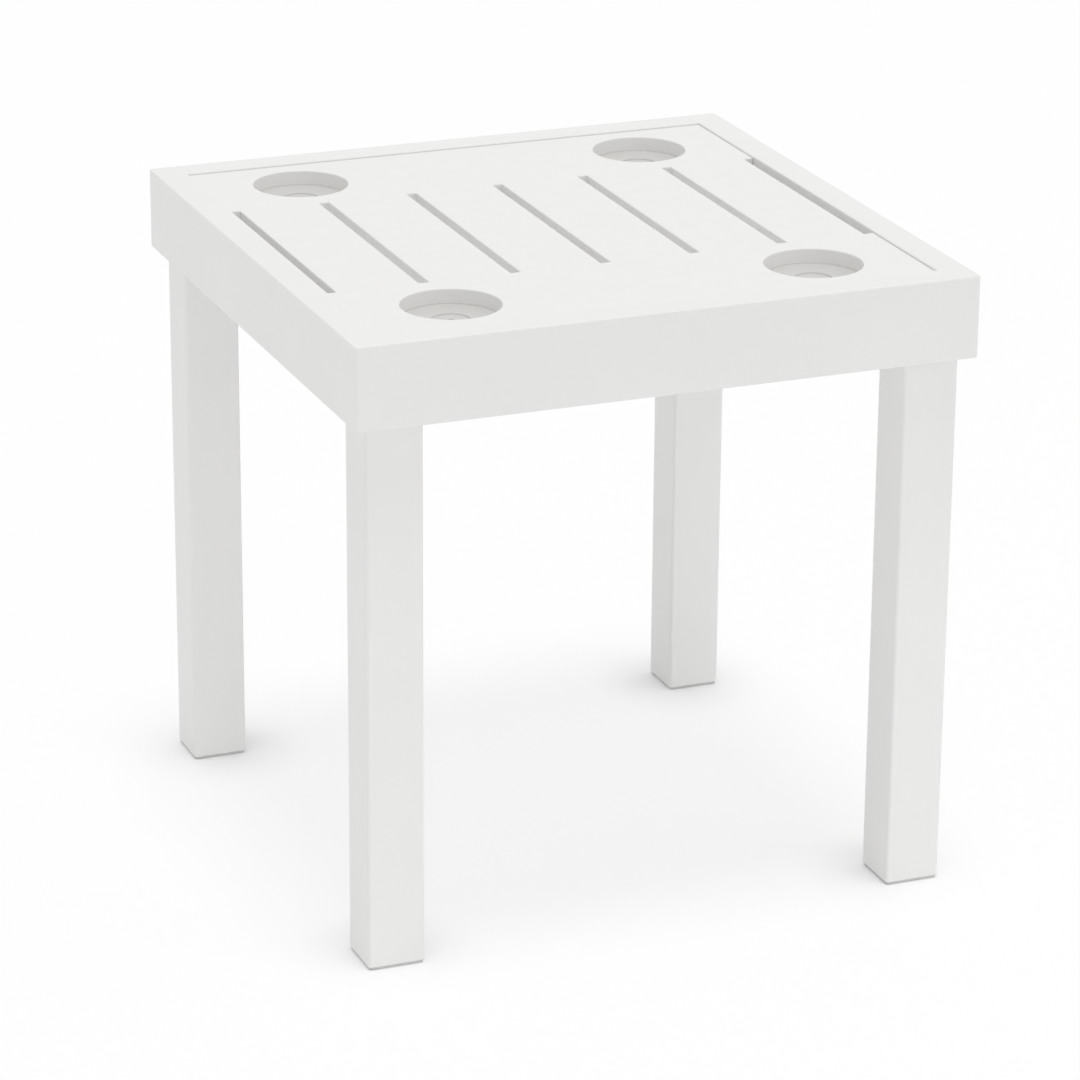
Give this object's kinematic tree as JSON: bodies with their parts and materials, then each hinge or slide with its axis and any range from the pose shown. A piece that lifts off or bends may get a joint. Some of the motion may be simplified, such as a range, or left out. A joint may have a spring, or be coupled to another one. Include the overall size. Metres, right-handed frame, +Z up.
{
  "type": "side table",
  "caption": "Square white patio side table with a deep mitred apron, a recessed slotted top with round cup wells near its corners, and square tube legs set in from the apron.",
  "frame": {"origin": "on the floor under the middle of the table, at the bottom of the foot pads", "axes": "+Z up, -Y the front, the drain slots run along Y"},
  "size_m": [0.5, 0.5, 0.5],
  "materials": {
    "frame_coat": "satin",
    "panel_board": "satin",
    "cup_coat": "satin",
    "leg_coat": "satin",
    "inner_coat": "satin",
    "plug_aluminium": "satin",
    "foot_plastic": "matte",
    "pad_rubber": "matte",
    "fastener_steel": "satin"
  },
  "bodies": {
    "root": {"rail_front": "frame_coat", "rail_back": "frame_coat", "rail_left": "frame_coat", "rail_right": "frame_coat", "top_panel": "panel_board", "cup_floor_front_left": "cup_coat", "cup_floor_front_right": "cup_coat", "cup_floor_back_left": "cup_coat", "cup_floor_back_right": "cup_coat", "leg_front_left": "leg_coat", "leg_front_right": "leg_coat", "leg_back_left": "leg_coat", "leg_back_right": "leg_coat", "corner_plate_front_left": "inner_coat", "corner_plate_front_right": "inner_coat", "corner_plate_back_left": "inner_coat", "corner_plate_back_right": "inner_coat", "ledge_front": "inner_coat", "ledge_back": "inner_coat", "bearer_left": "inner_coat", "bearer_right": "inner_coat", "leg_plug_front_left": "plug_aluminium", "leg_plug_front_right": "plug_aluminium", "leg_plug_back_left": "plug_aluminium", "leg_plug_back_right": "plug_aluminium", "foot_cap_front_left": "foot_plastic", "foot_cap_front_right": "foot_plastic", "foot_cap_back_left": "foot_plastic", "foot_cap_back_right": "foot_plastic", "bearer_pad_left": "pad_rubber", "bearer_pad_right": "pad_rubber", "leg_bolts": "fastener_steel", "leg_bolt_washers": "fastener_steel", "panel_screws": "fastener_steel", "cup_screws": "fastener_steel"}
  },
  "joints": []
}
